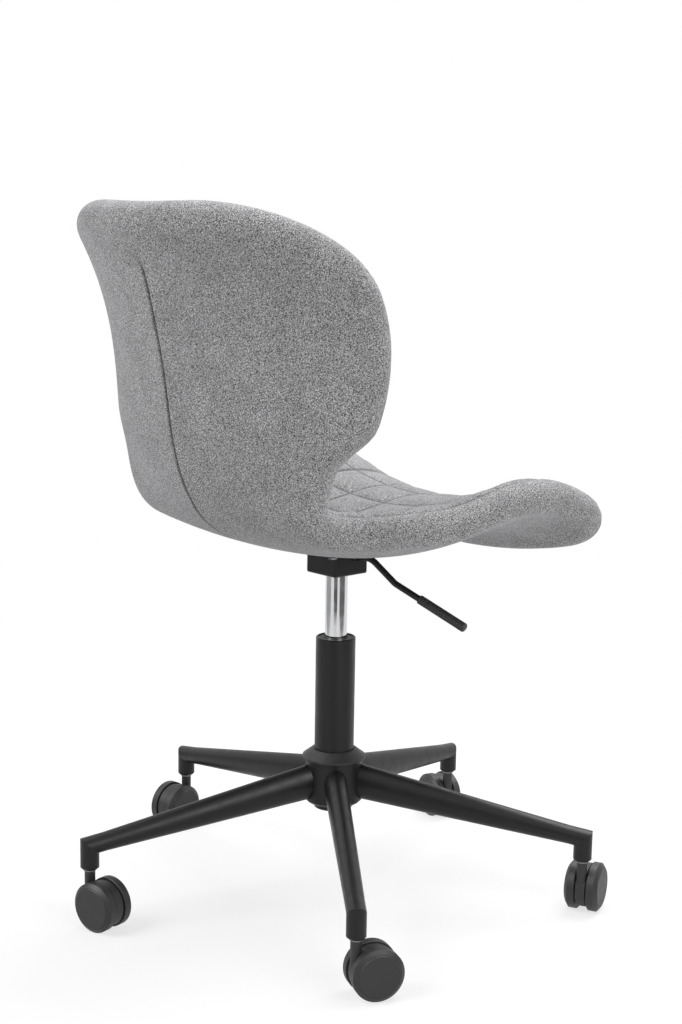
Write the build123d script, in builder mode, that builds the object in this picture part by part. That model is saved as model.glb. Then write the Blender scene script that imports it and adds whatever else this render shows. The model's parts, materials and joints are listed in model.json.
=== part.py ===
# Swivel office chair: a padded bucket seat on a gas lift and a five-leg base with twin-wheel casters.
# Millimetres, +Z up, origin on the floor under the column, the sitter faces -Y.
import os
from math import atan, cos, radians, sin, sqrt

from build123d import *

os.makedirs("parts", exist_ok=True)

# Fits
running_clearance = 0.06
press_gap = 0.05
body_gap = 0.3

# Casters
caster_circle_radius = 319.0
wheel_diameter = 61.0
wheel_width = 14.0
wheel_gap = 1.5
wheel_edge = 0.8
wheel_bevel = 4.5
wheel_cap_diameter = 50.0
wheel_cap_step = 1.0
wheel_rim_wall = 5.0
wheel_hub_diameter = 15.0
wheel_dish_floor = 5.0
caster_trail = 21.5
fork_width = 12.0
fork_inset = 2.0
fork_clearance = 10.0
axle_diameter = 6.0
axle_cover = 3.5
stem_boss_diameter = 13.0
stem_boss_root = 34.0
stem_diameter = 11.0
stem_root_diameter = 8.0
stem_root_depth = 24.0
stem_length = 27.0
stem_collar_diameter = 15.0
stem_collar_thickness = 2.0
# Plan angle from each stem to its axle, one per leg, degrees
caster_headings = [191.0, 246.4, 293.5, 347.9, 97.2]

# Five-leg base
first_leg_angle = 70.3
socket_bottom = 71.0
socket_diameter = 23.0
socket_chamfer = 2.0
socket_bore_spare = 2.0
leg_end_height = 99.5
leg_root_height = 46.0
leg_root_width = 30.0
leg_root_center = 150.0
leg_neck = 20.0
leg_wall = 2.0
hub_diameter = 73.0
hub_bottom = 120.0
hub_height = 56.0
hub_edge = 3.0
cap_rim_diameter = 80.0
cap_rim_height = 3.5
cap_height = 13.0
cap_wall = 2.5

# Gas lift
column_diameter = 50.0
column_wall = 2.0
column_bottom = 112.0
column_height = 222.0
column_taper = 0.8
column_floor = 4.0
column_lip = 1.0
cylinder_diameter = 28.0
cylinder_wall = 2.5
cylinder_showing = 82.0
cylinder_hidden = 122.0
cylinder_head = 10.0
cylinder_cone = 0.6
rod_diameter = 10.0
rod_collar_diameter = 18.0
rod_collar_height = 5.0
rod_tail = 6.0
piston_thickness = 12.0
piston_standoff = 38.0
guide_thickness = 12.0
bushing_length = 82.0
bearing_diameter = 30.0
bearing_thickness = 5.0
clip_diameter = 18.0
clip_thickness = 3.0
clip_groove = 0.8
valve_diameter = 6.0
valve_length = 30.0

# Seat mechanism and lever
mechanism_width = 54.0
mechanism_depth = 55.0
mechanism_height = 32.0
mechanism_wall = 2.5
mechanism_edge = 3.0
cone_collar_diameter = 37.0
cone_depth = 12.0
plate_width = 100.0
plate_depth = 110.0
plate_thickness = 3.0
plate_corner = 8.0
plate_recess = 5.2
bolt_spacing_x = 76.0
bolt_spacing_y = 84.0
bolt_diameter = 6.0
bolt_head_diameter = 11.5
bolt_head_height = 4.0
bolt_length = 12.0
insert_diameter = 10.0
insert_length = 11.0
lever_heading = 195.0
lever_drop_from_plate = 8.5
lever_rod_diameter = 8.0
lever_overhang = 8.0
lever_level_run = 50.0
lever_elbow_reach = 84.5
lever_elbow_drop = 27.0
lever_tip_reach = 180.0
lever_tip_drop = 68.0
lever_bend_radius = 24.0
grip_diameter = 11.5
grip_length = 70.0
lever_bush_diameter = 14.0
lever_bush_flange = 2.0

# Seat shell: side profile through the middle of the padding, forward of the column and above its low point
front_reach, front_level = 250.0, -31.0
lip_reach, lip_level = 203.0, 2.0
crest_reach, crest_level = 131.0, 15.0
low_reach = 10.0
rear_reach, rear_level = -100.0, 15.0
bend_reach, bend_level = -192.0, 58.0
lumbar_reach, lumbar_level = -226.0, 119.0
middle_reach, middle_level = -241.0, 198.0
upper_reach, upper_level = -264.0, 300.0
roll_reach, roll_level = -281.0, 345.0
top_reach, top_level = -309.0, 401.0
# Half width across the shell and how far its sides curl up, at stations along the profile
front_half_width, front_dish = 228.0, 35.0
thigh_half_width, thigh_dish = 224.0, 57.0
seat_half_width, seat_dish = 206.0, 43.0
waist_half_width, waist_dish = 163.5, 13.0
lumbar_half_width, lumbar_dish = 179.0, 50.0
wing_half_width, wing_dish = 219.0, 91.0
back_half_width, back_dish = 229.0, 113.0
top_half_width, top_dish = 219.0, 68.0
station_shares = [0, 0.19, 0.365, 0.52, 0.605, 0.68, 0.803, 1]
front_corner_radius = 58.0
top_corner_radius = 145.0
body_sections = 11
padding_thickness = 43.0
edge_fullness = 0.92
layer_reach = 40.0
rim_width = 14.0
cover_padding = 9.5
panel_thickness = 10.0

# Derived heights of the base and gas lift
wheel_radius = wheel_diameter / 2
socket_radius = socket_diameter / 2
hub_radius = hub_diameter / 2
hub_top = hub_bottom + hub_height
column_radius = column_diameter / 2
column_bore_radius = column_radius - column_wall - column_taper
column_top = column_bottom + column_height
cylinder_radius = cylinder_diameter / 2
cylinder_bore_radius = cylinder_radius - cylinder_wall
cylinder_bottom = column_top - cylinder_hidden
rod_radius = rod_diameter / 2
bearing_bottom = column_bottom + column_floor
collar_bottom = bearing_bottom + bearing_thickness + body_gap
clip_top = column_bottom - body_gap
piston_bottom = cylinder_bottom + piston_standoff

# Derived heights of the seat
mechanism_bottom = column_top + cylinder_showing
plate_bottom = mechanism_bottom + mechanism_height
plate_top = plate_bottom + plate_thickness
cylinder_top = mechanism_bottom + cone_depth
lever_rod_radius = lever_rod_diameter / 2
lever_height = plate_bottom - lever_drop_from_plate
valve_top = lever_height - lever_rod_radius - body_gap
shell_low = plate_bottom - plate_recess + padding_thickness / 2


def polar(radius, angle, height=0.0):
    """Point at a plan angle in degrees."""
    return Vector(radius * cos(radians(angle)), radius * sin(radians(angle)), height)


leg_angles = [first_leg_angle + 360 / 5 * number for number in range(5)]

# Leg, modelled along +X: a tapering oval tube mitred into an upright caster socket
leg_root = Vector(hub_radius / 2, 0, leg_root_center)
leg_end = Vector(caster_circle_radius, 0, leg_end_height)
leg_run = (leg_end - leg_root).normalized()
leg_neck_start = leg_end - leg_run * leg_neck
mitre = Plane(origin=leg_end, x_dir=(0, 1, 0), z_dir=(leg_run + Vector(0, 0, -1)).normalized())
across = (0, 1, 0)

with BuildPart() as leg_tube:
    with BuildSketch(Plane(origin=leg_root, x_dir=across, z_dir=leg_run)):
        Ellipse(leg_root_width / 2, leg_root_height / 2)
    with BuildSketch(Plane(origin=leg_neck_start, x_dir=across, z_dir=leg_run)):
        Circle(socket_radius)
    loft(ruled=True)
    with BuildSketch(Plane(origin=leg_neck_start, x_dir=across, z_dir=leg_run)):
        Circle(socket_radius)
    extrude(amount=leg_neck + socket_diameter)
    split(bisect_by=mitre, keep=Keep.BOTTOM)

with BuildPart() as leg_hollow:
    with BuildSketch(Plane(origin=leg_root, x_dir=across, z_dir=leg_run)):
        Ellipse(leg_root_width / 2 - leg_wall, leg_root_height / 2 - leg_wall)
    with BuildSketch(Plane(origin=leg_neck_start, x_dir=across, z_dir=leg_run)):
        Circle(socket_radius - leg_wall)
    loft(ruled=True)

with BuildPart() as leg_socket:
    with BuildSketch(Plane(origin=(caster_circle_radius, 0, socket_bottom))):
        Circle(socket_radius)
    extrude(amount=leg_end_height + socket_diameter - socket_bottom)
    split(bisect_by=mitre, keep=Keep.TOP)
    chamfer(leg_socket.edges().group_by(Axis.Z)[0], socket_chamfer)

with BuildPart() as leg_pattern:
    add(leg_tube.part)
    add(leg_socket.part)
    add(leg_hollow.part, mode=Mode.SUBTRACT)
    with BuildSketch(Plane.XY):
        Circle(hub_radius + press_gap)
    extrude(amount=hub_top + leg_root_height, mode=Mode.SUBTRACT)
    with BuildSketch(Plane(origin=(caster_circle_radius, 0, socket_bottom))):
        Circle(stem_diameter / 2 + running_clearance)
    extrude(amount=stem_length + socket_bore_spare, mode=Mode.SUBTRACT)

for number, angle in enumerate(leg_angles, 1):
    with BuildPart() as leg:
        add(leg_pattern.part, rotation=(0, 0, angle))
    leg.part.label = f"leg_{number}"
    export_step(leg.part, f"parts/leg_{number}.step")

# Caster pieces, modelled with the stem on the Z axis and the axle at +X
axle_point = (caster_trail, 0, wheel_radius)
axle_plane = Plane(origin=axle_point, x_dir=(0, 1, 0), z_dir=(1, 0, 0))
side_plane = Plane(origin=axle_point, x_dir=(1, 0, 0), z_dir=(0, -1, 0))
fork_radius = wheel_radius - fork_inset
collar_top = socket_bottom - body_gap
boss_top = collar_top - stem_collar_thickness
wheel_inner = fork_width / 2 + wheel_gap
wheel_outer = wheel_inner + wheel_width
axle_reach = wheel_outer - axle_cover

with BuildPart() as fork_pattern:
    with BuildSketch(side_plane):
        Circle(fork_radius)
    extrude(amount=fork_width / 2, both=True)
    with BuildSketch(Plane.XY.offset(stem_boss_root)):
        Circle(stem_boss_diameter / 2)
    extrude(amount=boss_top - stem_boss_root)
    with BuildSketch(Plane.XY.offset(fork_clearance)):
        with Locations((caster_trail, 0)):
            Rectangle(wheel_diameter, wheel_diameter)
    extrude(amount=-wheel_radius, mode=Mode.SUBTRACT)
    with BuildSketch(side_plane):
        Circle(axle_diameter / 2 + press_gap)
    extrude(amount=fork_width, both=True, mode=Mode.SUBTRACT)
    with BuildSketch(Plane.XY.offset(boss_top)):
        Circle(stem_root_diameter / 2 + press_gap)
    extrude(amount=-stem_root_depth, mode=Mode.SUBTRACT)

with BuildPart() as stem_pattern:
    with BuildSketch(Plane.XY.offset(boss_top - stem_root_depth)):
        Circle(stem_root_diameter / 2)
    extrude(amount=stem_root_depth)
    with BuildSketch(Plane.XY.offset(boss_top)):
        Circle(stem_collar_diameter / 2)
    extrude(amount=stem_collar_thickness)
    with BuildSketch(Plane.XY.offset(collar_top)):
        Circle(stem_diameter / 2)
    extrude(amount=stem_length)
    chamfer(stem_pattern.edges().group_by(Axis.Z)[-1], wheel_edge)

with BuildPart() as axle_pattern:
    with BuildSketch(side_plane):
        Circle(axle_diameter / 2)
    extrude(amount=axle_reach, both=True)

# Wheel section: along the axle outwards, then away from the axle
bore_radius = axle_diameter / 2 + running_clearance
cap_radius = wheel_cap_diameter / 2
wheel_section = [
    (fork_width / 2 + body_gap, bore_radius),
    (fork_width / 2 + body_gap, wheel_hub_diameter / 2),
    (wheel_inner + wheel_dish_floor, wheel_hub_diameter / 2),
    (wheel_inner + wheel_dish_floor, wheel_radius - wheel_rim_wall),
    (wheel_inner, wheel_radius - wheel_rim_wall),
    (wheel_inner, wheel_radius - wheel_edge),
    (wheel_inner + wheel_edge, wheel_radius),
    (wheel_outer - wheel_bevel, wheel_radius),
    (wheel_outer - wheel_cap_step, cap_radius + wheel_cap_step),
    (wheel_outer - wheel_cap_step, cap_radius),
    (wheel_outer, cap_radius - wheel_edge),
    (wheel_outer, 0),
    (axle_reach + body_gap, 0),
    (axle_reach + body_gap, bore_radius),
]

with BuildPart() as wheel_pattern:
    with BuildSketch(axle_plane):
        with BuildLine():
            Polyline(*wheel_section, close=True)
        make_face()
    revolve(axis=Axis(axle_point, (0, 1, 0)))

for number, (angle, heading) in enumerate(zip(leg_angles, caster_headings), 1):
    forward = polar(1, heading)
    caster_place = Plane(origin=polar(caster_circle_radius, angle), x_dir=forward, z_dir=(0, 0, 1))
    # The second wheel is the same wheel turned half a turn about an upright line through the axle
    far_side = Plane(
        origin=polar(caster_circle_radius, angle) + forward * (2 * caster_trail), x_dir=-forward, z_dir=(0, 0, 1)
    )
    with BuildPart(caster_place) as fork:
        add(fork_pattern.part)
    fork.part.label = f"caster_fork_{number}"
    export_step(fork.part, f"parts/caster_fork_{number}.step")
    with BuildPart(caster_place) as stem:
        add(stem_pattern.part)
    stem.part.label = f"caster_stem_{number}"
    export_step(stem.part, f"parts/caster_stem_{number}.step")
    with BuildPart(caster_place) as axle:
        add(axle_pattern.part)
    axle.part.label = f"caster_axle_{number}"
    export_step(axle.part, f"parts/caster_axle_{number}.step")
    with BuildPart(caster_place) as wheel_a:
        add(wheel_pattern.part)
    wheel_a.part.label = f"wheel_{number}a"
    export_step(wheel_a.part, f"parts/wheel_{number}a.step")
    with BuildPart(far_side) as wheel_b:
        add(wheel_pattern.part)
    wheel_b.part.label = f"wheel_{number}b"
    export_step(wheel_b.part, f"parts/wheel_{number}b.step")

# Hub with the tapered bore that the column drops into
with BuildPart() as hub:
    with BuildSketch(Plane.XZ):
        with BuildLine():
            Polyline(
                (column_radius - column_taper + press_gap, hub_bottom),
                (hub_radius - hub_edge, hub_bottom),
                (hub_radius, hub_bottom + hub_edge),
                (hub_radius, hub_top),
                (column_radius + press_gap, hub_top),
                close=True,
            )
        make_face()
    revolve(axis=Axis.Z)
hub.part.label = "hub"
export_step(hub.part, "parts/hub.step")

# Conical plastic cap that hides the weld between the hub and the column
with BuildPart() as hub_cap:
    with BuildSketch(Plane.XZ):
        with BuildLine():
            Polyline(
                (column_radius + press_gap, hub_top + press_gap),
                (cap_rim_diameter / 2 - cap_wall, hub_top + press_gap),
                (cap_rim_diameter / 2, hub_top + cap_wall / 2),
                (cap_rim_diameter / 2, hub_top + cap_rim_height),
                (column_radius + cap_wall, hub_top + cap_height),
                (column_radius + press_gap, hub_top + cap_height),
                close=True,
            )
        make_face()
    revolve(axis=Axis.Z)
hub_cap.part.label = "hub_cap"
export_step(hub_cap.part, "parts/hub_cap.step")

# Column: outer tube of the gas lift, tapered where it sits in the hub and closed at the foot
with BuildPart() as column_tube:
    with BuildSketch(Plane.XZ):
        with BuildLine():
            Polyline(
                (rod_radius + body_gap, column_bottom),
                (column_radius - column_taper, column_bottom),
                (column_radius - column_taper, hub_bottom),
                (column_radius, hub_top),
                (column_radius, column_top - column_lip),
                (column_radius - column_lip, column_top),
                (column_bore_radius, column_top),
                (column_bore_radius, bearing_bottom),
                (rod_radius + body_gap, bearing_bottom),
                close=True,
            )
        make_face()
    revolve(axis=Axis.Z)
column_tube.part.label = "column_tube"
export_step(column_tube.part, "parts/column_tube.step")

# Guide bushing in the mouth of the column, which the cylinder slides and turns in
with BuildPart() as guide_bushing:
    with BuildSketch(Plane.XY.offset(column_top - column_lip - bushing_length)):
        Circle(column_bore_radius - press_gap)
        Circle(cylinder_radius + running_clearance, mode=Mode.SUBTRACT)
    extrude(amount=bushing_length)
    chamfer(guide_bushing.edges().group_by(Axis.Z)[-1].sort_by(SortBy.RADIUS)[0], column_lip)
guide_bushing.part.label = "guide_bushing"
export_step(guide_bushing.part, "parts/guide_bushing.step")

# Thrust bearing on the column's foot
with BuildPart() as thrust_bearing:
    with BuildSketch(Plane.XY.offset(bearing_bottom)):
        Circle(bearing_diameter / 2)
        Circle(rod_radius + running_clearance, mode=Mode.SUBTRACT)
    extrude(amount=bearing_thickness)
thrust_bearing.part.label = "thrust_bearing"
export_step(thrust_bearing.part, "parts/thrust_bearing.step")

# Piston rod, which stands on the bearing by its collar and is held below the foot by a clip
groove_radius = rod_radius - clip_groove
with BuildPart() as piston_rod:
    with BuildSketch(Plane.XZ):
        with BuildLine():
            Polyline(
                (0, column_bottom - rod_tail),
                (rod_radius, column_bottom - rod_tail),
                (rod_radius, clip_top - clip_thickness - press_gap),
                (groove_radius, clip_top - clip_thickness - press_gap),
                (groove_radius, clip_top + press_gap),
                (rod_radius, clip_top + press_gap),
                (rod_radius, collar_bottom),
                (rod_collar_diameter / 2, collar_bottom),
                (rod_collar_diameter / 2, collar_bottom + rod_collar_height),
                (rod_radius, collar_bottom + rod_collar_height),
                (rod_radius, piston_bottom + piston_thickness),
                (0, piston_bottom + piston_thickness),
                close=True,
            )
        make_face()
    revolve(axis=Axis.Z)
piston_rod.part.label = "piston_rod"
export_step(piston_rod.part, "parts/piston_rod.step")

with BuildPart() as piston:
    with BuildSketch(Plane.XY.offset(piston_bottom)):
        Circle(cylinder_bore_radius - running_clearance)
        Circle(rod_radius + press_gap, mode=Mode.SUBTRACT)
    extrude(amount=piston_thickness)
piston.part.label = "piston"
export_step(piston.part, "parts/piston.step")

# Spring clip with a mouth, snapped into the rod's groove
with BuildPart() as retaining_clip:
    with BuildSketch(Plane.XY.offset(clip_top - clip_thickness)):
        Circle(clip_diameter / 2)
        Circle(groove_radius + press_gap, mode=Mode.SUBTRACT)
        with Locations((clip_diameter / 2, 0)):
            Rectangle(clip_diameter, groove_radius, mode=Mode.SUBTRACT)
    extrude(amount=clip_thickness)
retaining_clip.part.label = "retaining_clip"
export_step(retaining_clip.part, "parts/retaining_clip.step")

# Chrome pressure cylinder, coned at the head where it wedges into the mechanism
head_radius = cylinder_radius - cylinder_cone
with BuildPart() as gas_cylinder:
    with BuildSketch(Plane.XZ):
        with BuildLine():
            Polyline(
                (cylinder_bore_radius, cylinder_bottom),
                (cylinder_radius, cylinder_bottom),
                (cylinder_radius, mechanism_bottom),
                (head_radius, cylinder_top),
                (valve_diameter / 2 + running_clearance, cylinder_top),
                (valve_diameter / 2 + running_clearance, cylinder_top - cylinder_head),
                (cylinder_bore_radius, cylinder_top - cylinder_head),
                close=True,
            )
        make_face()
    revolve(axis=Axis.Z)
gas_cylinder.part.label = "gas_cylinder"
export_step(gas_cylinder.part, "parts/gas_cylinder.step")

with BuildPart() as rod_guide:
    with BuildSketch(Plane.XY.offset(cylinder_bottom)):
        Circle(cylinder_bore_radius - press_gap)
        Circle(rod_radius + running_clearance, mode=Mode.SUBTRACT)
    extrude(amount=guide_thickness)
rod_guide.part.label = "rod_guide"
export_step(rod_guide.part, "parts/rod_guide.step")

with BuildPart() as valve_pin:
    with BuildSketch(Plane.XY.offset(valve_top)):
        Circle(valve_diameter / 2)
    extrude(amount=-valve_length)
    chamfer(valve_pin.edges().group_by(Axis.Z)[-1], wheel_edge)
valve_pin.part.label = "valve_pin"
export_step(valve_pin.part, "parts/valve_pin.step")

# Mechanism housing: a pressed box with a coned collar for the cylinder and a side hole for the lever
lever_out = polar(1, lever_heading)
lever_side = Vector(0, 0, 1).cross(lever_out)
lever_pivot_reach = mechanism_width / 2 / abs(cos(radians(lever_heading)))
lever_pivot = lever_out * lever_pivot_reach + Vector(0, 0, lever_height)
lever_plane = Plane(origin=lever_pivot, x_dir=lever_side, z_dir=lever_out)

with BuildPart() as mechanism_housing:
    with BuildSketch(Plane.XY.offset(mechanism_bottom)):
        RectangleRounded(mechanism_width, mechanism_depth, mechanism_edge)
    extrude(amount=mechanism_height)
    fillet(mechanism_housing.faces().sort_by(Axis.Z)[0].edges(), mechanism_wall)
    with BuildSketch(Plane.XY.offset(mechanism_bottom + mechanism_wall)):
        Rectangle(mechanism_width - 2 * mechanism_wall, mechanism_depth - 2 * mechanism_wall)
    extrude(amount=mechanism_height, mode=Mode.SUBTRACT)
    with BuildSketch(Plane.XY.offset(mechanism_bottom)):
        Circle(cone_collar_diameter / 2)
    extrude(amount=cone_depth)
    with BuildSketch(Plane.XZ):
        with BuildLine():
            Polyline(
                (0, mechanism_bottom),
                (cylinder_radius + press_gap, mechanism_bottom),
                (head_radius + press_gap, cylinder_top),
                (0, cylinder_top),
                close=True,
            )
        make_face()
    revolve(axis=Axis.Z, mode=Mode.SUBTRACT)
    with BuildSketch(lever_plane):
        Circle(lever_bush_diameter / 2 + press_gap)
    extrude(amount=mechanism_width / 4, both=True, mode=Mode.SUBTRACT)
mechanism_housing.part.label = "mechanism_housing"
export_step(mechanism_housing.part, "parts/mechanism_housing.step")

# Bush in the housing wall that the lever rocks in, flanged on the outside
with BuildPart() as lever_bush:
    with BuildSketch(lever_plane):
        Circle(lever_bush_diameter / 2)
    extrude(amount=lever_bush_flange)
    with BuildSketch(lever_plane):
        Circle(lever_bush_diameter / 2)
    extrude(amount=-2 * mechanism_wall)
    with BuildSketch(lever_plane):
        Circle(lever_rod_radius + body_gap)
    extrude(amount=2 * mechanism_wall, both=True, mode=Mode.SUBTRACT)
    with BuildSketch(lever_plane.offset(lever_bush_flange)):
        Circle(lever_rod_radius + body_gap + lever_bush_flange)
    extrude(amount=-lever_bush_flange, taper=30, mode=Mode.SUBTRACT)
    with BuildSketch(lever_plane.offset(-2 * mechanism_wall)):
        Circle(lever_rod_radius + body_gap + lever_bush_flange)
    extrude(amount=lever_bush_flange, taper=30, mode=Mode.SUBTRACT)
lever_bush.part.label = "lever_bush"
export_step(lever_bush.part, "parts/lever_bush.step")


def lever_point(reach, drop):
    """Point on the lever's upright plane, out from the column and below the level run."""
    return lever_out * reach + Vector(0, 0, lever_height - drop)


# Lever: a bent rod whose inner end lies over the valve pin
elbow = lever_point(lever_elbow_reach, lever_elbow_drop)
tip = lever_point(lever_tip_reach, lever_tip_drop)
tip_run = (tip - elbow).normalized()
with BuildPart() as lever_rod:
    with BuildLine() as lever_path:
        FilletPolyline(
            lever_point(-lever_overhang, 0), lever_point(lever_level_run, 0), elbow, tip, radius=lever_bend_radius
        )
    with BuildSketch(Plane(origin=lever_path.line @ 0, x_dir=lever_side, z_dir=lever_path.line % 0)):
        Circle(lever_rod_radius)
    sweep()
lever_rod.part.label = "lever_rod"
export_step(lever_rod.part, "parts/lever_rod.step")

with BuildPart() as lever_grip:
    with BuildSketch(Plane(origin=tip + tip_run * lever_rod_radius, x_dir=lever_side, z_dir=-tip_run)):
        Circle(grip_diameter / 2)
    extrude(amount=grip_length)
    fillet(lever_grip.faces().sort_by(Axis((0, 0, 0), tip_run))[-1].edges(), grip_diameter / 4)
    chamfer(lever_grip.faces().sort_by(Axis((0, 0, 0), tip_run))[0].edges(), wheel_edge)
    with BuildSketch(Plane(origin=tip + tip_run * press_gap, x_dir=lever_side, z_dir=-tip_run)):
        Circle(lever_rod_radius + press_gap)
    extrude(amount=grip_length, mode=Mode.SUBTRACT)
lever_grip.part.label = "lever_grip"
export_step(lever_grip.part, "parts/lever_grip.step")

# Mounting plate, its bolts and the threaded inserts that they screw into
with BuildPart() as mounting_plate:
    with BuildSketch(Plane.XY.offset(plate_bottom)):
        RectangleRounded(plate_width, plate_depth, plate_corner)
        with GridLocations(bolt_spacing_x, bolt_spacing_y, 2, 2):
            Circle(bolt_diameter / 2 + body_gap, mode=Mode.SUBTRACT)
    extrude(amount=plate_thickness)
mounting_plate.part.label = "mounting_plate"
export_step(mounting_plate.part, "parts/mounting_plate.step")

with BuildPart() as seat_bolts:
    with BuildSketch(Plane.XY.offset(plate_bottom)):
        with GridLocations(bolt_spacing_x, bolt_spacing_y, 2, 2):
            RegularPolygon(bolt_head_diameter / 2, 6)
    extrude(amount=-bolt_head_height)
    with BuildSketch(Plane.XY.offset(plate_bottom)):
        with GridLocations(bolt_spacing_x, bolt_spacing_y, 2, 2):
            Circle(bolt_diameter / 2)
    extrude(amount=bolt_length)
seat_bolts.part.label = "seat_bolts"
export_step(seat_bolts.part, "parts/seat_bolts.step")

with BuildPart() as threaded_inserts:
    with BuildSketch(Plane.XY.offset(plate_top)):
        with GridLocations(bolt_spacing_x, bolt_spacing_y, 2, 2):
            Circle(insert_diameter / 2)
            Circle(bolt_diameter / 2 + press_gap, mode=Mode.SUBTRACT)
    extrude(amount=insert_length)
threaded_inserts.part.label = "threaded_inserts"
export_step(threaded_inserts.part, "parts/threaded_inserts.step")

# Side profile of the shell, from the front lip down to the seat and up the back
profile_points = [
    (-front_reach, shell_low + front_level),
    (-lip_reach, shell_low + lip_level),
    (-crest_reach, shell_low + crest_level),
    (-low_reach, shell_low),
    (-rear_reach, shell_low + rear_level),
    (-bend_reach, shell_low + bend_level),
    (-lumbar_reach, shell_low + lumbar_level),
    (-middle_reach, shell_low + middle_level),
    (-upper_reach, shell_low + upper_level),
    (-roll_reach, shell_low + roll_level),
    (-top_reach, shell_low + top_level),
]
with BuildLine(Plane.YZ) as profile_line:
    Spline(*profile_points)
profile = profile_line.edge()
profile_length = profile.length
half_widths = [
    front_half_width, thigh_half_width, seat_half_width, waist_half_width,
    lumbar_half_width, wing_half_width, back_half_width, top_half_width,
]
dishes = [
    front_dish, thigh_dish, seat_dish, waist_dish, lumbar_dish, wing_dish, back_dish, top_dish,
]
half_padding = padding_thickness / 2
panel_low = cover_padding - half_padding
panel_high = panel_low + panel_thickness


def between_stations(values, share):
    """Smooth value at a share of the profile, which never overshoots the stations beside it."""
    steps = [b - a for a, b in zip(station_shares, station_shares[1:])]
    slopes = [(b - a) / step for a, b, step in zip(values, values[1:], steps)]
    rates = [slopes[0]]
    for before, after in zip(slopes, slopes[1:]):
        rates.append(2 * before * after / (before + after) if before * after > 0 else 0)
    rates.append(slopes[-1])
    index = max(i for i in range(len(steps)) if share >= station_shares[i])
    step = steps[index]
    t = (share - station_shares[index]) / step
    start = values[index] * (1 + 2 * t) * (1 - t) ** 2 + values[index + 1] * t**2 * (3 - 2 * t)
    return start + step * t * (1 - t) * (rates[index] * (1 - t) - rates[index + 1] * t)


def corner_cut(distance, radius):
    """Width lost to a rounded corner at a distance from the end that it rounds."""
    left = radius - min(max(distance, 0), radius)
    return radius - sqrt(radius**2 - left**2)


def swell(distance):
    """Half thickness of the padding at a distance from its rounded end."""
    return sqrt(half_padding**2 - (half_padding - min(distance, half_padding)) ** 2)


def turn_steps(radius, turns):
    """Distances from an end at which an arc of this radius has turned by the given degrees."""
    return [radius * (1 - cos(radians(turn))) for turn in turns]


class Section:
    """Frame and sizes of the shell square to its profile, at a distance from the front edge."""

    def __init__(self, distance, inset):
        share = distance / profile_length
        from_top = profile_length - distance
        origin = profile.position_at(distance, position_mode=PositionMode.LENGTH)
        along = profile.tangent_at(distance, position_mode=PositionMode.LENGTH)
        self.plane = Plane(origin=origin, x_dir=(-1, 0, 0), z_dir=along)
        full = between_stations(half_widths, share)
        width = full - inset
        width -= corner_cut(distance - inset, front_corner_radius - inset)
        width -= corner_cut(from_top - inset, top_corner_radius - inset)
        dish = between_stations(dishes, share) * (width / full) ** 2
        self.half_angle = 2 * atan(dish / width)
        self.radius = width / sin(self.half_angle)
        self.half_thickness = swell(min(distance, from_top))

    def point(self, angle, rise):
        """Point at an angle round the dish, raised from the middle of the padding towards the sitter."""
        reach = self.radius - rise
        return (reach * sin(angle), self.radius - reach * cos(angle))


def sections(inset, lip_turns, corner_turns):
    """Sections from end to end, closer together where the lips and corners round off."""
    lip = turn_steps(half_padding, lip_turns)
    front = [inset + gap for gap in lip + turn_steps(front_corner_radius - inset, corner_turns)]
    top = [inset + gap for gap in lip + turn_steps(top_corner_radius - inset, corner_turns)]
    top = [profile_length - gap for gap in reversed(top)]
    span = (top[0] - front[-1]) / (body_sections + 1)
    body = [front[-1] + span * step for step in range(1, body_sections + 1)]
    return [Section(distance, inset) for distance in front + body + top]


def layer(inset, low, high):
    """Outlines of one layer of the shell between two rises."""
    outlines = []
    for section in sections(inset, [], (0, 20, 40, 60, 75, 90)):
        angle = section.half_angle
        roof_rise = min(high, section.half_thickness + high - half_padding)
        with BuildSketch(section.plane) as outline:
            with BuildLine():
                roof = ThreePointArc(
                    section.point(-angle, roof_rise), section.point(0, roof_rise), section.point(angle, roof_rise)
                )
                underside = ThreePointArc(
                    section.point(-angle, low), section.point(0, low), section.point(angle, low)
                )
                Line(roof @ 0, underside @ 0)
                Line(roof @ 1, underside @ 1)
            make_face()
        outlines.append(outline.sketch.face())
    return outlines


# Whole padded form: every section is a curved bar with round edges
with BuildPart() as padded_form:
    for section in sections(0, (12, 30, 50, 70), (48, 60, 75, 90)):
        half = section.half_thickness
        edge = section.half_angle - half * edge_fullness / section.radius
        with BuildSketch(section.plane):
            with BuildLine():
                roof = ThreePointArc(
                    section.point(-edge, half), section.point(0, half), section.point(edge, half)
                )
                underside = ThreePointArc(
                    section.point(-edge, -half), section.point(0, -half), section.point(edge, -half)
                )
                ThreePointArc(roof @ 0, section.point(-section.half_angle, 0), underside @ 0)
                ThreePointArc(roof @ 1, section.point(section.half_angle, 0), underside @ 1)
            make_face()
    loft()

# Cover: the padded form hollowed from the front, down to its outer padding and in to its rim
with BuildPart() as cavity:
    loft(layer(rim_width, panel_low - body_gap, layer_reach))

with BuildPart() as back_cover:
    add(padded_form.part)
    add(cavity.part, mode=Mode.SUBTRACT)
    with BuildSketch(Plane.XY.offset(plate_bottom - padding_thickness)):
        Rectangle(plate_width + 2 * body_gap, plate_depth + 2 * body_gap)
    extrude(amount=2 * padding_thickness, mode=Mode.SUBTRACT)
back_cover.part.label = "back_cover"
export_step(back_cover.part, "parts/back_cover.step")

# Filling of the cover: the inner shell below and the seat pad above
with BuildPart() as filling:
    loft(layer(rim_width + body_gap, panel_low, layer_reach))

# Inner shell: a moulded panel that follows the seat, with a flat boss for the mounting plate
with BuildPart() as above_panel:
    loft(layer(rim_width / 2, panel_high, layer_reach + panel_thickness))

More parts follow.
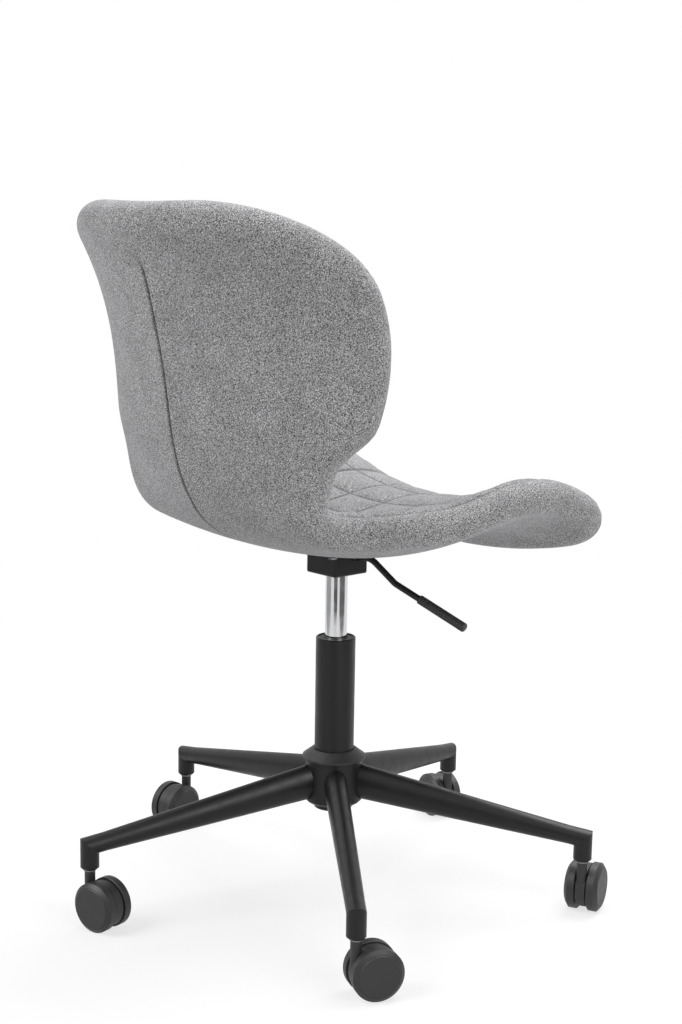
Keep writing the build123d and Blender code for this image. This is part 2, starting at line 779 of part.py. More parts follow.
with BuildPart() as boss:
    with BuildSketch(Plane.XY.offset(plate_top)):
        RectangleRounded(plate_width, plate_depth, plate_corner)
    extrude(amount=padding_thickness)

with BuildPart() as inner_shell:
    add(filling.part)
    add(boss.part)
    add(above_panel.part, mode=Mode.SUBTRACT)
    with BuildSketch(Plane.XY.offset(plate_top)):
        with GridLocations(bolt_spacing_x, bolt_spacing_y, 2, 2):
            Circle(insert_diameter / 2 + press_gap)
    extrude(amount=insert_length, mode=Mode.SUBTRACT)
inner_shell.part.label = "inner_shell"
export_step(inner_shell.part, "parts/inner_shell.step")

# Seat pad, flush with the cover's round rim
with BuildPart() as pad_room:
    loft(layer(rim_width / 2, panel_high + body_gap, layer_reach + panel_thickness))

with BuildPart() as pad_roof:
    loft(layer(rim_width / 2, -layer_reach, swell(rim_width)))

with BuildPart() as seat_pad:
    add(filling.part)
    add(pad_room.part, mode=Mode.INTERSECT)
    add(pad_roof.part, mode=Mode.INTERSECT)
seat_pad.part.label = "seat_pad"
export_step(seat_pad.part, "parts/seat_pad.step")
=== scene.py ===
import json
import math
from collections import namedtuple

import bpy
import numpy as np
from mathutils import Matrix, Vector


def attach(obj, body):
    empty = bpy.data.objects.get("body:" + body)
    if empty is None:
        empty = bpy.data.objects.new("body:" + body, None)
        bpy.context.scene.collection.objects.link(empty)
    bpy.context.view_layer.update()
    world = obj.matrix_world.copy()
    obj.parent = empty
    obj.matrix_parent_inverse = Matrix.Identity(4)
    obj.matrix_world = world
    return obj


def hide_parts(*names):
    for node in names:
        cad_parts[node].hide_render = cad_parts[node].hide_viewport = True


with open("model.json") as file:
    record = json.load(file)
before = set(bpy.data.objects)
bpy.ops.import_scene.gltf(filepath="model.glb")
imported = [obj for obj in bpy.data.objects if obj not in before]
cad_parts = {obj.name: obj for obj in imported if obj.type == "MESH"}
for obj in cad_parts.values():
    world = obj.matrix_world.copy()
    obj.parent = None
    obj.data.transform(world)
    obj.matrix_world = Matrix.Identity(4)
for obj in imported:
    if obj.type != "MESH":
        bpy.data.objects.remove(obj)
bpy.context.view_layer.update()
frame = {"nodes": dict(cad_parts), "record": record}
nodes = frame["nodes"]
scene = bpy.context.scene
scene.view_settings.view_transform = "Standard"
mm = 0.001


# Materials

def linear(code):
    """sRGB hex colour as linear RGBA."""
    parts = [int(code[i : i + 2], 16) / 255 for i in (1, 3, 5)]
    return [p / 12.92 if p <= 0.04045 else ((p + 0.055) / 1.055) ** 2.4 for p in parts] + [1.0]


def add_node(tree, kind, sockets=None, **settings):
    """Adds a shader node; a socket's value is either another node's output or a constant."""
    made = tree.nodes.new(kind)
    for key, value in settings.items():
        setattr(made, key, value)
    for key, value in (sockets or {}).items():
        if isinstance(value, bpy.types.NodeSocket):
            tree.links.new(value, made.inputs[key])
        else:
            made.inputs[key].default_value = value
    return made


def new_material(name):
    """Empty node material, with the Object coordinates that place its patterns."""
    material = bpy.data.materials.new(name)
    material.use_nodes = True
    tree = material.node_tree
    tree.nodes.clear()
    return material, tree, add_node(tree, "ShaderNodeTexCoord").outputs["Object"]


def wool_felt(name, dark, light, fleck, crease_shade):
    """Melange wool felt: pale fibres in dark yarn, cloudy patches, a fine nap and painted shade along the
    sewn lines.
    """
    material, tree, place = new_material(name)
    # Size of each pattern in millimetres, then its detail and roughness. Single fibres are too fine to show,
    # so yarn and flecks are drawn as coarse as they need to be seen.
    patterns = []
    for size, detail, roughness in ((1.5, 2.0, 0.7), (1.0, 1.0, 0.5), (38.0, 2.0, 0.5)):
        noise = {"Vector": place, "Scale": 1 / (size * mm), "Detail": detail, "Roughness": roughness}
        patterns.append(add_node(tree, "ShaderNodeTexNoise", noise).outputs["Fac"])
    yarn, flecks, patches = patterns
    # Painted shade along the sewn lines and the pad's edge, read from the meshes
    sewn = add_node(tree, "ShaderNodeAttribute", attribute_name="sewn").outputs["Fac"]
    # Colours laid over the dark yarn: where each sets in, where it is full, and how much it then covers
    layers = (
        (yarn, 0.4, 0.58, 1.0, light),
        (flecks, 0.55, 0.68, 0.8, fleck),
        (patches, 0.35, 0.7, 0.18, dark),
        # Last layer: painted shade where the felt is drawn down into its sewn grooves
        (sewn, 0.0, 1.0, 1.0, crease_shade),
    )
    colour = linear(dark)
    for pattern, low, high, most, tint in layers:
        step = {"Value": pattern, "From Min": low, "From Max": high, "To Max": most}
        share = add_node(tree, "ShaderNodeMapRange", step).outputs["Result"]
        mix = {0: share, 6: colour, 7: linear(tint)}
        colour = add_node(tree, "ShaderNodeMix", mix, data_type="RGBA").outputs[2]
    nap = add_node(tree, "ShaderNodeBump", {"Strength": 0.45, "Distance": 0.7 * mm, "Height": yarn})
    surface = {
        "Base Color": colour,
        "Normal": nap.outputs["Normal"],
        "Roughness": 0.95,
        "Specular IOR Level": 0.15,
        "Sheen Weight": 0.25,
        "Sheen Roughness": 0.5,
        "Sheen Tint": linear("#d8dadd"),
    }
    shader = add_node(tree, "ShaderNodeBsdfPrincipled", surface)
    add_node(tree, "ShaderNodeOutputMaterial", {"Surface": shader.outputs["BSDF"]})
    return material


# Millimetres over which a hard surface goes from a smoother to a rougher place, and by how much it does
drift_size, drift = 14.0, 0.05


def hard_finish(name, colour, roughness, grain, relief, metallic=0.0, specular=0.5):
    """Hard surface whose grain, with its size and relief in millimetres, breaks its highlights a little."""
    material, tree, place = new_material(name)
    patterns = []
    for size in (grain, drift_size):
        noise = {"Vector": place, "Scale": 1 / (size * mm), "Detail": 2.0}
        patterns.append(add_node(tree, "ShaderNodeTexNoise", noise).outputs["Fac"])
    texture, wear = patterns
    bump = add_node(tree, "ShaderNodeBump", {"Strength": 0.2, "Distance": relief * mm, "Height": texture})
    low, high = roughness - drift, roughness + drift
    step = {"Value": wear, "From Min": 0.3, "From Max": 0.7, "To Min": low, "To Max": high}
    surface = {
        "Base Color": linear(colour),
        "Metallic": metallic,
        "Specular IOR Level": specular,
        "Roughness": add_node(tree, "ShaderNodeMapRange", step).outputs["Result"],
        "Normal": bump.outputs["Normal"],
    }
    shader = add_node(tree, "ShaderNodeBsdfPrincipled", surface)
    add_node(tree, "ShaderNodeOutputMaterial", {"Surface": shader.outputs["BSDF"]})
    return material


# Grains under a millimetre or so would not show, so sprayed and moulded ones are drawn about that coarse
finishes = {
    # Melange felt: a soft matt grey that breaks up into pale and dark fibres, with painted shade in its sewn
    # grooves
    "grey_felt": wool_felt("grey melange wool felt", "#343435", "#878788", "#cbcbcc", "#2a2a2b"),
    # Satin black coat: dark, with soft broad highlights along the tubes
    "black_powder_coat": hard_finish(
        "black powder-coated steel", "#0e0e0f", roughness=0.4, grain=1.1, relief=0.08, specular=0.3
    ),
    # Moulded nylon: greyer and duller than the coat
    "black_nylon": hard_finish("black moulded nylon", "#19191a", roughness=0.5, grain=0.9, relief=0.06),
    # Chrome plate: clean mirror streaks down the cylinder
    "chrome": hard_finish(
        "chrome-plated steel", "#d2d3d5", roughness=0.1, grain=3.0, relief=0.005, metallic=1.0
    ),
    # Zinc plate on pins and bolts: small dull glints
    "steel": hard_finish(
        "zinc-plated steel", "#77787a", roughness=0.34, grain=0.8, relief=0.02, metallic=1.0
    ),
    # Moulded shell inside the padding: plain dark grey
    "moulded_shell": hard_finish("moulded polypropylene", "#3c3d40", roughness=0.6, grain=1.2, relief=0.05),
}
felt = finishes["grey_felt"]
for part in frame["record"]["subparts"]:
    piece = nodes[part["node"]]
    piece.data.materials.clear()
    piece.data.materials.append(finishes[part["material_slot"]])


# Bucket shell in millimetres: its profile from front to top, as distance forward and height above shell_low,
# and its half width and dish at stations along that profile
shell_low = 464.3
profile = np.array(
    [
        (250, -31), (203, 2), (131, 15), (10, 0), (-100, 15), (-192, 58),
        (-226, 119), (-241, 198), (-264, 300), (-281, 345), (-309, 401),
    ],
    float,
)
station_shares = np.array([0, 0.19, 0.365, 0.52, 0.605, 0.68, 0.803, 1])
half_widths = np.array([228, 224, 206, 163.5, 179, 219, 229, 219])
dishes = np.array([35, 57, 43, 13, 50, 91, 113, 68], float)

# Padding: half its thickness, how far the cover comes in over the rim and its gap to the pad, then the
# heights of the cover's inner face and the pad's underside from the middle of the padding
half_padding = 21.5
rim_width = 14.0
body_gap = 0.3
cover_floor = -12.3
pad_floor = -1.7

# Ends of the shell: corner radius, depth of the bow across the end, and share of the bow in the rim's line
front_radius, front_bow, front_softness = 58.0, 58.0, 0.45
top_radius, top_bow, top_softness = 145.0, 131.0, 0.6
bow_power = 2.4

# Points along the profile, the ends and the sides, and the steps over which directions are measured
fine_points, end_points, side_points = 4001, 600, 1600
tangent_step, normal_step = 0.5, 0.8


def spline(knots, values):
    """Cubic through points, with its third derivative kept through the first and last inner knots."""
    count = len(knots)
    gaps = np.diff(knots)
    slopes = np.diff(values) / gaps
    matrix = np.zeros((count, count))
    right = np.zeros(count)
    for i in range(1, count - 1):
        matrix[i, i - 1 : i + 2] = gaps[i - 1], 2 * (gaps[i - 1] + gaps[i]), gaps[i]
        right[i] = 6 * (slopes[i] - slopes[i - 1])
    matrix[0, :3] = gaps[1], -gaps[0] - gaps[1], gaps[0]
    matrix[-1, -3:] = gaps[-1], -gaps[-2] - gaps[-1], gaps[-2]
    bends = np.linalg.solve(matrix, right)

    def at(t):
        i = np.clip(np.searchsorted(knots, t) - 1, 0, count - 2)
        x = t - knots[i]
        rate = slopes[i] - gaps[i] * (2 * bends[i] + bends[i + 1]) / 6
        return values[i] + x * (rate + x * (bends[i] / 2 + x * (bends[i + 1] - bends[i]) / (6 * gaps[i])))

    return at


def distance_along(x, y):
    """Distance along a line of points, from its first."""
    return np.concatenate([[0], np.cumsum(np.hypot(np.diff(x), np.diff(y)))])


knots = distance_along(profile[:, 0], profile[:, 1])
y_at = spline(knots, -profile[:, 0])
z_at = spline(knots, shell_low + profile[:, 1])
fine = np.linspace(0, knots[-1], fine_points)
travel = distance_along(y_at(fine), z_at(fine))
length = travel[-1]


def between_stations(values, s):
    """Smooth value along the profile, which never overshoots the stations beside it."""
    share = np.clip(s / length, 0, 1)
    steps = np.diff(station_shares)
    slopes = np.diff(values) / steps
    pairs = slopes[:-1] * slopes[1:]
    means = np.where(pairs > 0, 2 * pairs / np.where(pairs > 0, slopes[:-1] + slopes[1:], 1), 0)
    rates = np.concatenate([slopes[:1], means, slopes[-1:]])
    i = np.clip(np.searchsorted(station_shares, share, side="right") - 1, 0, len(steps) - 1)
    t = (share - station_shares[i]) / steps[i]
    start = values[i] * (1 + 2 * t) * (1 - t) ** 2 + values[i + 1] * t**2 * (3 - 2 * t)
    return start + steps[i] * t * (1 - t) * (rates[i] * (1 - t) - rates[i + 1] * t)


def dish_radius(s):
    """Radius of the dish across the shell."""
    wide, deep = between_stations(half_widths, s), between_stations(dishes, s)
    return (wide**2 + deep**2) / (2 * deep)


def half_arc(s, share=1.0):
    """Length round the dish from the middle to a share of its half width."""
    radius = dish_radius(s)
    return radius * np.arcsin(between_stations(half_widths, s) * share / radius)


def middle(s, a):
    """Point in the middle of the padding: s along the profile from the front, a across it from the middle."""
    inside = np.clip(s, 0, length)
    t = np.interp(inside, travel, fine)
    run_y = y_at(t + tangent_step) - y_at(t - tangent_step)
    run_z = z_at(t + tangent_step) - z_at(t - tangent_step)
    size = np.hypot(run_y, run_z)
    run_y, run_z = run_y / size, run_z / size
    radius = dish_radius(inside)
    rise = radius * (1 - np.cos(a / radius))
    past = s - inside
    x = radius * np.sin(a / radius)
    y = y_at(t) - run_z * rise + run_y * past
    z = z_at(t) + run_y * rise + run_z * past
    return np.stack([x, y, z], -1)


def raised(s, a, rise):
    """Points raised from the middle of the padding towards the sitter, in metres."""
    along = middle(s + normal_step, a) - middle(s - normal_step, a)
    over = middle(s, a + normal_step) - middle(s, a - normal_step)
    outward = np.cross(over, along)
    outward /= np.linalg.norm(outward, axis=-1, keepdims=True)
    return (middle(s, a) + outward * np.asarray(rise)[..., None]) * mm


def swell(depth):
    """Half thickness of the padding at a depth inside its round rim."""
    return np.sqrt(half_padding**2 - (half_padding - np.clip(depth, 0, half_padding)) ** 2)


def end_gap(share, wide, radius, bow, softness):
    """Distance of the rim from an end at a share of the half width: a round corner, softened to a bow."""
    corner = radius - np.sqrt(radius**2 - np.clip(share * wide - wide + radius, 0, radius) ** 2)
    bowed = bow * (1 - np.clip(1 - share**bow_power, 0, 1) ** (1 / bow_power))
    return corner + softness * (bowed - corner)


# Outline of one half of the shell in (s, a), from the middle of the front round to the middle of the top in
# even steps, and the same line pulled in by ring_depth
ring_depth = 24.0
share = np.sin(np.linspace(0, math.pi / 2, end_points))
front_s = end_gap(share, half_widths[0], front_radius, front_bow, front_softness)
top_s = length - end_gap(share[::-1], half_widths[-1], top_radius, top_bow, top_softness)
side_s = np.linspace(front_s[-1], top_s[0], side_points)[1:-1]
edge_s = np.concatenate([front_s, side_s, top_s])
edge_a = np.concatenate([half_arc(front_s, share), half_arc(side_s), half_arc(top_s, share[::-1])])
even = distance_along(edge_s, edge_a)
steps = np.linspace(0, even[-1], fine_points)
edge_s, edge_a = np.interp(steps, even, edge_s), np.interp(steps, even, edge_a)
run_s, run_a = np.gradient(edge_s), np.gradient(edge_a)
run = np.hypot(run_s, run_a)
ring_s = edge_s + ring_depth * run_a / run
ring_a = edge_a - ring_depth * run_s / run

# Points of the outline where the front goes over into the side, and the side into the top
front_turn = int(np.argmax(run_s >= run_a))
top_turn = int(len(steps) - 1 - np.argmax(run_s[::-1] >= -run_a[::-1]))

# Squares of the quilting, and how wide the outermost band must be to have a sewn line of its own
quilt_across, quilt_along = 66.0, 60.0
wide_band = 80.0

# Rows keep this clear of the ends, and lose the bow of the front and the top over these distances
end_clearance = 1.0
front_fade, top_fade = 28.0, 55.0

# Points of a sheet: where they are, and the row and column of the quilting that they belong to
Spots = namedtuple("Spots", "s a row column")


def at_spot(values, spots):
    """Values of the outline at spots counted in its points, which may lie between two of them."""
    return np.interp(spots, np.arange(len(values)), values)


def mirrored(half):
    """Rows from the middle outwards, completed with their mirror images."""
    return np.hstack([-half[:, :0:-1], half])


def round_border(front, right, top, left):
    """Values of a grid's four sides, strung together in one loop round it."""
    return np.concatenate([front[:-1], right[:-1], top[:0:-1], left[:0:-1]])


class Sheet:
    """Grid over the shell whose rows and columns keep to given lines, with rings out to the rim."""

    def __init__(self, columns, band, rows):
        s_low, s_high = ring_s[front_turn], ring_s[top_turn]
        rows = rows[(rows > s_low + end_clearance) & (rows < s_high - end_clearance)]
        rows = np.concatenate([[s_low], rows, [s_high]])
        turns = slice(front_turn, top_turn + 1)
        side_spots = np.interp(rows, ring_s[turns], np.arange(front_turn, top_turn + 1))
        half = at_spot(ring_a, side_spots)[:, None]
        inner = np.repeat(columns[None], len(rows), axis=0)
        last = columns[-1]
        # Past the last column, a wide band holds one more sewn line and a narrow band none
        squares = np.minimum(band * 2, np.where(half - last > wide_band, 1.5, 0.5))
        self.a = mirrored(np.hstack([inner, last + (half - last) * band]))
        self.column = mirrored(np.hstack([inner, last + squares * quilt_across]))
        self.row = np.repeat(rows[:, None], self.a.shape[1], axis=1)
        front, top = self.a[0], self.a[-1]
        front_spots = np.interp(np.abs(front), ring_a[: front_turn + 1], np.arange(front_turn + 1))
        top_spots = np.interp(-np.abs(top), -ring_a[top_turn:], np.arange(top_turn, len(ring_a)))
        front_shift = at_spot(ring_s, front_spots) - s_low
        top_shift = at_spot(ring_s, top_spots) - s_high
        front_share = np.exp(-(rows - s_low) / front_fade)[:, None]
        top_share = np.exp(-(s_high - rows) / top_fade)[:, None]
        self.s = self.row + front_share * front_shift + top_share * top_shift
        self.index = np.arange(self.a.size).reshape(self.a.shape)
        self.loop = round_border(self.index[0], self.index[:, -1], self.index[-1], self.index[:, 0])
        spots = round_border(front_spots, side_spots, top_spots, side_spots)
        ones = np.ones(len(rows))
        self.rim_s = at_spot(edge_s, spots)
        self.rim_a = at_spot(edge_a, spots) * round_border(np.sign(front), ones, np.sign(top), -ones)

    def inside(self):
        """Points of the grid."""
        return Spots(self.s.ravel(), self.a.ravel(), self.row.ravel(), self.column.ravel())

    def ring(self, depth):
        """The loop of points at a depth inside the rim."""
        inward = depth / ring_depth
        edge = Spots(*(values[self.loop] for values in self.inside()))
        s = self.rim_s + (edge.s - self.rim_s) * inward
        a = self.rim_a + (edge.a - self.rim_a) * inward
        return Spots(s, a, edge.row, edge.column)


# Depth given to the sheet's own vertices, all well inside the rim
inside_rim = 99.0


class Skin:
    """Vertices and faces of one closed piece, gathered sheet by sheet."""

    def __init__(self, sewn):
        self.sewn = sewn
        self.points = []
        self.marks = []
        self.faces = []
        self.count = 0

    def add(self, at, rise, depth):
        """Vertices at a rise, with the painted shade of a sewn line or edge near them; returns their numbers.
        """
        start = self.count
        self.points.append(raised(at.s, at.a, rise(at, depth) + np.zeros(len(at.s))))
        self.marks.append(self.sewn(at, depth))
        self.count += len(at.s)
        return np.arange(start, self.count)

    def patch(self, sheet, rise, turned):
        """The grid at a rise given per vertex; returns the vertices of its border loop."""
        ids = self.add(sheet.inside(), rise, inside_rim)
        grid = ids[sheet.index]
        quads = np.stack([grid[:-1, :-1], grid[:-1, 1:], grid[1:, 1:], grid[1:, :-1]], -1).reshape(-1, 4)
        self.faces.append(quads[:, ::-1] if turned else quads)
        return ids[sheet.loop]

    def strip(self, inner, outer, turned):
        """Quads between two loops of the same count."""
        quads = np.stack([inner, outer, np.roll(outer, -1), np.roll(inner, -1)], -1)
        self.faces.append(quads[:, ::-1] if turned else quads)

    def rings(self, loop, sheet, depths, rise, turned):
        """Goes on from a loop with rings at these depths inside the rim; returns the last one."""
        for depth in depths:
            ring = self.add(sheet.ring(depth), rise, depth)
            self.strip(loop, ring, turned)
            loop = ring
        return loop

    def build(self, name, material):
        """The piece itself, smooth and with the painted shade along its sewn lines."""
        mesh = bpy.data.meshes.new(name)
        mesh.from_pydata(np.concatenate(self.points).tolist(), [], np.concatenate(self.faces).tolist())
        mesh.polygons.foreach_set("use_smooth", np.ones(len(mesh.polygons), bool))
        mesh.attributes.new("sewn", "FLOAT", "POINT").data.foreach_set("value", np.concatenate(self.marks))
        mesh.materials.append(material)
        mesh.update()
        piece = bpy.data.objects.new(name, mesh)
        scene.collection.objects.link(piece)
        return piece


def line_gap(value, pitch):
    """Distance to the nearest line of an even set with one at zero."""
    return np.abs((value / pitch + 0.5) % 1 - 0.5) * pitch


# Painted shade on a sewn line and on the edge between cover and pad, then the groove along that edge
line_shade, edge_shade = 0.85, 0.6
groove_depth, groove_width = 3.0, 2.2

# Cover: smooth felt over the outside and round the rim, with one seam up the middle of the back on a low keel
seam_low, seam_top = 395.0, 778.0
seam_depth, seam_half_width, seam_fade = 2.6, 1.6, 12.0
keel_height, keel_half_width, keel_fade = 4.5, 26.0, 90.0


def along_seam(s, fade):
    """1 along the seam, falling to 0 over a distance inside its ends."""
    reach = np.clip(np.minimum(s - seam_low, seam_top - s) / fade, 0, 1)
    return reach * reach * (3 - 2 * reach)


def in_seam(at):
    """1 in the middle of the seam, falling to 0 beside it."""
    return along_seam(at.s, seam_fade) * np.exp(-((at.a / seam_half_width) ** 2))


def cover_seam_shade(at, depth):
    """Painted shade along the back seam, and along the line where the cover meets the pad."""
    return np.maximum(line_shade * in_seam(at), edge_shade * (depth == rim_width))


def cover_outside(at, depth):
    """The back and underside, with the seam drawn into the keel."""
    keel = keel_height * along_seam(at.s, keel_fade) * np.exp(-np.abs(at.a) / keel_half_width)
    return -swell(depth) - keel + seam_depth * in_seam(at)


def cover_rim(at, depth):
    """The sitter's side of the rim, which drops into the groove at the pad."""
    return swell(depth) - groove_depth * np.exp((depth - rim_width) / groove_width)


def cover_inner_face(at, depth):
    """The side that lies on the moulded shell."""
    return cover_floor


cover_columns = np.concatenate([[0, 0.7, 1.5, 2.6, 4.2, 6.5, 10], np.arange(15, 133, 6.5)])
cover_sheet = Sheet(cover_columns, np.linspace(0, 1, 16)[1:], np.arange(0, length, 5.5))
skin = Skin(cover_seam_shade)
loop = skin.patch(cover_sheet, cover_outside, True)
loop = skin.rings(loop, cover_sheet, (21.5, 15.9, 10.7, 6.3, 2.9, 0.7, 0.0), cover_outside, True)
loop = skin.rings(loop, cover_sheet, (0.7, 2.9, 6.3, 9.5, 11.8, 13.2, rim_width), cover_rim, True)
loop = skin.rings(loop, cover_sheet, (rim_width,), cover_inner_face, True)
skin.strip(loop, skin.patch(cover_sheet, cover_inner_face, False), True)
cover = skin.build("felt_cover", felt)

# Opening under the cover, in which the mounting plate sits: its size, and the height of its middle
plate_opening = [edge * mm for edge in (100.6, 110.6, 60.0)]
opening_height = 435.0
bpy.ops.object.select_all(action="DESELECT")
bpy.ops.mesh.primitive_cube_add(size=1, location=(0, 0, opening_height * mm), scale=plate_opening)
cutter = bpy.context.object
opening = cover.modifiers.new("plate opening", "BOOLEAN")
opening.operation = "DIFFERENCE"
opening.object = cutter
bpy.context.view_layer.objects.active = cover
bpy.ops.object.modifier_apply(modifier=opening.name)
bpy.data.objects.remove(cutter)

# Pad: felt inside the rim, sewn through in squares, which the filling puffs up between the lines
puff_height, puff_shoulder = 3.4, 6.0
line_half_width = 1.4

# Edge of the pad: how fast the squares flatten towards it, and the depth inside the rim where its painted
# shade ends
edge_shoulder, edge_band = 5.0, 15.0

# Filling: its pressure and time, how far it may lift the felt, and the painted shade of the sewn lines below
# which felt is loose
filling_pressure, filling_frames = 4.0, 20
puff_limit = 4.5
loose_mark = 0.05


def pad_roof(at, depth):
    """The sitter's side of the pad, which rises in each square and drops at the edge."""
    puff = 1.0
    for gap in (line_gap(at.column, quilt_across), line_gap(at.row, quilt_along)):
        puff = puff * (1 - np.exp(-gap / puff_shoulder))
    edge = np.clip(depth - rim_width - body_gap, 0, None)
    rounded = 1 - np.exp(-edge / edge_shoulder)
    return swell(depth) - groove_depth * np.exp(-edge / groove_width) + puff_height * puff * rounded


def pad_line_shade(at, depth):
    """Painted shade along the quilting lines, and at the pad's edge."""
    near = np.minimum(line_gap(at.column, quilt_across), line_gap(at.row, quilt_along))
    return np.maximum(line_shade * np.exp(-((near / line_half_width) ** 2)), edge_shade * (depth < edge_band))


def pad_underside(at, depth):
    """The side that lies on the moulded shell."""
    return pad_floor


# Rows and columns of the pad's mesh, closest beside the sewn lines, for this many squares along the profile
squares_along = 14
stops = np.array([0, 1.6, 4, 8, 14, 23])
cell = np.concatenate([stops, [quilt_across / 2], quilt_across - stops[:0:-1]])
pad_columns = np.concatenate([cell, quilt_across + cell, [2 * quilt_across]])
cell = np.concatenate([stops, [quilt_along / 2], quilt_along - stops[:0:-1]])
pad_rows = np.concatenate([quilt_along * square + cell for square in range(squares_along)])
pad_sheet = Sheet(pad_columns, np.linspace(0, 1, 13)[1:], pad_rows)
pad_edge = rim_width + body_gap
skin = Skin(pad_line_shade)
loop = skin.patch(pad_sheet, pad_roof, False)
loop = skin.rings(loop, pad_sheet, (21.5, 18.5, 16.6, 15.4, 14.8, pad_edge), pad_roof, False)
loop = skin.rings(loop, pad_sheet, (pad_edge,), pad_underside, False)
skin.strip(loop, skin.patch(pad_sheet, pad_underside, True), False)
pad = skin.build("quilted_pad", felt)


def read_points(piece):
    """Places of a piece's vertices."""
    flat = np.zeros(3 * len(piece.data.vertices))
    piece.data.vertices.foreach_get("co", flat)
    return flat.reshape(-1, 3)


def puff_up(piece, loose):
    """Lets pressure swell the loose vertices as cloth, while the others stay sewn down."""
    start = read_points(piece)
    group = piece.vertex_groups.new(name="sewn down")
    group.add(np.flatnonzero(~loose).tolist(), 1.0, "REPLACE")
    cloth = piece.modifiers.new("filling", "CLOTH")
    cloth.settings.use_pressure = True
    cloth.settings.uniform_pressure_force = filling_pressure
    cloth.settings.effector_weights.gravity = 0
    cloth.settings.vertex_group_mass = group.name
    for step in range(1, filling_frames + 1):
        scene.frame_set(step)
    bpy.context.view_layer.objects.active = piece
    bpy.ops.object.modifier_apply(modifier=cloth.name)
    scene.frame_set(1)
    piece.vertex_groups.clear()
    moved = read_points(piece) - start
    size = np.linalg.norm(moved, axis=1, keepdims=True)
    capped = start + moved * np.minimum(1, puff_limit * mm / np.maximum(size, 1e-9))
    piece.data.vertices.foreach_set("co", capped.ravel())
    piece.data.update()


bpy.ops.object.select_all(action="DESELECT")
on_roof = np.arange(len(pad.data.vertices)) < pad_sheet.index.size
puff_up(pad, on_roof & (np.concatenate(skin.marks) < loose_mark))
bpy.context.view_layer.objects.active = pad
finer = pad.modifiers.new("finer", "SUBSURF")
finer.levels = 1
bpy.ops.object.modifier_apply(modifier=finer.name)

for piece, node in ((cover, "back_cover"), (pad, "seat_pad")):
    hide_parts(node)
    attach(piece, "seat")


# Stage: pale floor that runs out into a white backdrop, and soft studio light

def seen_rays(tree):
    """1 for the rays that show the backdrop: from the camera, off shiny surfaces and through clear ones."""
    path = add_node(tree, "ShaderNodeLightPath").outputs
    seen = path["Is Camera Ray"]
    for kind in ("Is Glossy Ray", "Is Transmission Ray"):
        seen = add_node(tree, "ShaderNodeMath", {0: seen, 1: path[kind]}, operation="MAXIMUM").outputs[0]
    return seen


# Matt white floor: keeps the chair's shadow near it and turns into the backdrop further out
floor_material, tree, place = new_material("white studio floor")
matt = add_node(tree, "ShaderNodeBsdfPrincipled", {"Base Color": linear("#dcdcdc"), "Roughness": 0.9})
distance = add_node(tree, "ShaderNodeVectorMath", {0: place}, operation="LENGTH").outputs["Value"]
step = {"Value": distance, "From Min": 0.5, "From Max": 1.6, "To Min": 0.7, "To Max": 1.0}
backdrop = add_node(tree, "ShaderNodeMapRange", step).outputs["Result"]
share = add_node(tree, "ShaderNodeMath", {0: backdrop, 1: seen_rays(tree)}, operation="MULTIPLY").outputs[0]
glow = add_node(tree, "ShaderNodeEmission", {"Color": linear("#ffffff"), "Strength": 1.0}).outputs[0]
mixed = add_node(tree, "ShaderNodeMixShader", {0: share, 1: matt.outputs[0], 2: glow}).outputs[0]
add_node(tree, "ShaderNodeOutputMaterial", {"Surface": mixed})

bpy.ops.object.select_all(action="DESELECT")
bpy.ops.mesh.primitive_plane_add(size=60, location=(0, 0, 0))
floor = bpy.context.object
floor.name = "studio_floor"
floor.data.materials.append(floor_material)

world = bpy.data.worlds.new("white studio")
scene.world = world
world.use_nodes = True
tree = world.node_tree
tree.nodes.clear()
white = add_node(tree, "ShaderNodeBackground", {"Color": linear("#ffffff"), "Strength": 1.0}).outputs[0]
ambient = add_node(tree, "ShaderNodeBackground", {"Color": linear("#f6f6f6"), "Strength": 0.3}).outputs[0]
both = add_node(tree, "ShaderNodeMixShader", {0: seen_rays(tree), 1: ambient, 2: white}).outputs[0]
add_node(tree, "ShaderNodeOutputWorld", {"Surface": both})


def soft_box(name, place, aim, size, power):
    """Square studio light that faces a point."""
    light = bpy.data.lights.new(name, "AREA")
    light.size = size
    light.energy = power
    box = bpy.data.objects.new(name, light)
    box.location = place
    box.rotation_euler = (Vector(aim) - Vector(place)).to_track_quat("-Z", "Y").to_euler()
    scene.collection.objects.link(box)


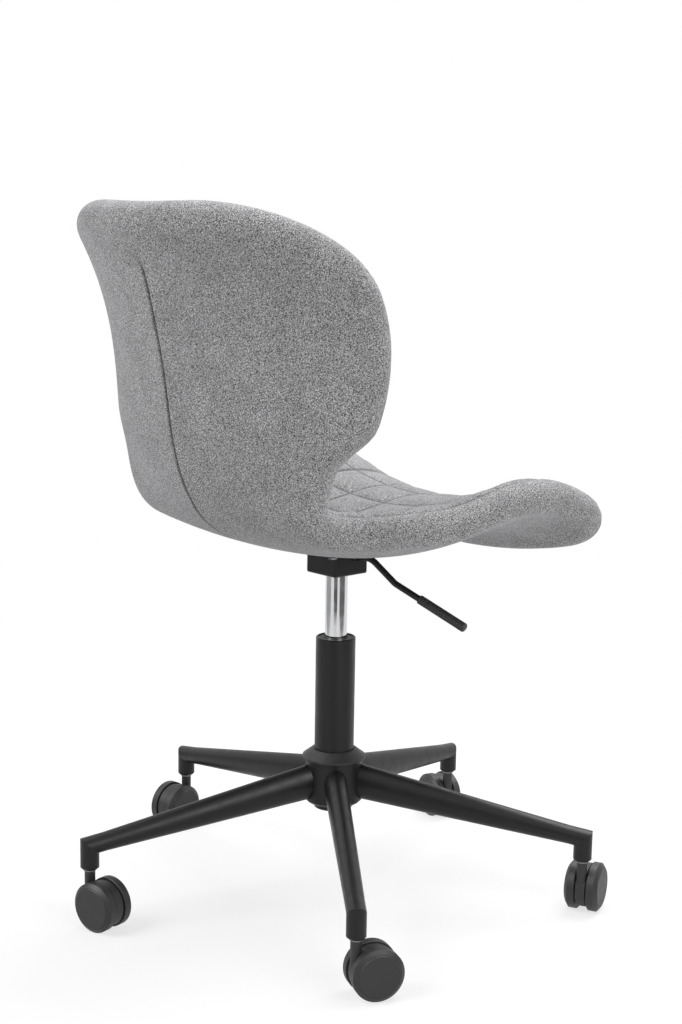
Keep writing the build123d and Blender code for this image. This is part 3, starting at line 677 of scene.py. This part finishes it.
# Directions along the floor: the camera's view, and to its right
view = Vector((0.7337, -0.6794, 0))
side = Vector((-0.6794, -0.7337, 0))
soft_box("key_left", -2.2 * side - 0.9 * view + Vector((0, 0, 2.3)), (0, 0, 0.5), 1.8, 88)
soft_box("top", (0, -1.1, 2.9), (0, -0.1, 0.5), 2.2, 122)
soft_box("fill_right", (-2.5, 0.0, 1.2), (0, 0, 0.6), 1.6, 50)

# Cards whose mirror images give the chrome its dark streaks: how far off and how high they stand
card_distance, card_height = 1.6, 0.5


def grey_card(name, colour, start, end):
    """Upright card of matt paper between two bearings from the camera's side, which the camera can't see."""
    corners = []
    for bearing in (start, end):
        turn = math.radians(bearing)
        foot = card_distance * (side * math.sin(turn) - view * math.cos(turn))
        corners += [foot, foot + Vector((0, 0, card_height))]
    mesh = bpy.data.meshes.new(name)
    mesh.from_pydata(corners, [], [(0, 2, 3, 1)])
    material, tree, _ = new_material(name)
    shader = add_node(tree, "ShaderNodeBsdfPrincipled", {"Base Color": linear(colour), "Roughness": 0.9})
    add_node(tree, "ShaderNodeOutputMaterial", {"Surface": shader.outputs["BSDF"]})
    mesh.materials.append(material)
    card = bpy.data.objects.new(name, mesh)
    card.visible_camera = False
    scene.collection.objects.link(card)


grey_card("dark card", "#505050", -26, 10)
grey_card("right card", "#606060", 32, 95)
grey_card("left card", "#9c9c9c", -120, -58)

# Camera at the photograph's place
camera_place = (-1.5589, 1.4381, 0.856)
pitch, roll = 0.1697, 0.0163
ahead = view * math.cos(pitch) - Vector((0, 0, math.sin(pitch)))
over = side.cross(ahead)
right_axis = side * math.cos(roll) + over * math.sin(roll)
up_axis = over * math.cos(roll) - side * math.sin(roll)
camera_data = bpy.data.cameras.new("camera")
camera_data.sensor_fit = "VERTICAL"
camera_data.sensor_height = 36
camera_data.lens = 60.87
camera_data.clip_end = 100
camera = bpy.data.objects.new("camera", camera_data)
facing = Matrix((right_axis, up_axis, -ahead)).transposed().to_4x4()
camera.matrix_world = Matrix.Translation(camera_place) @ facing
scene.collection.objects.link(camera)
scene.camera = camera

bpy.context.view_layer.update()
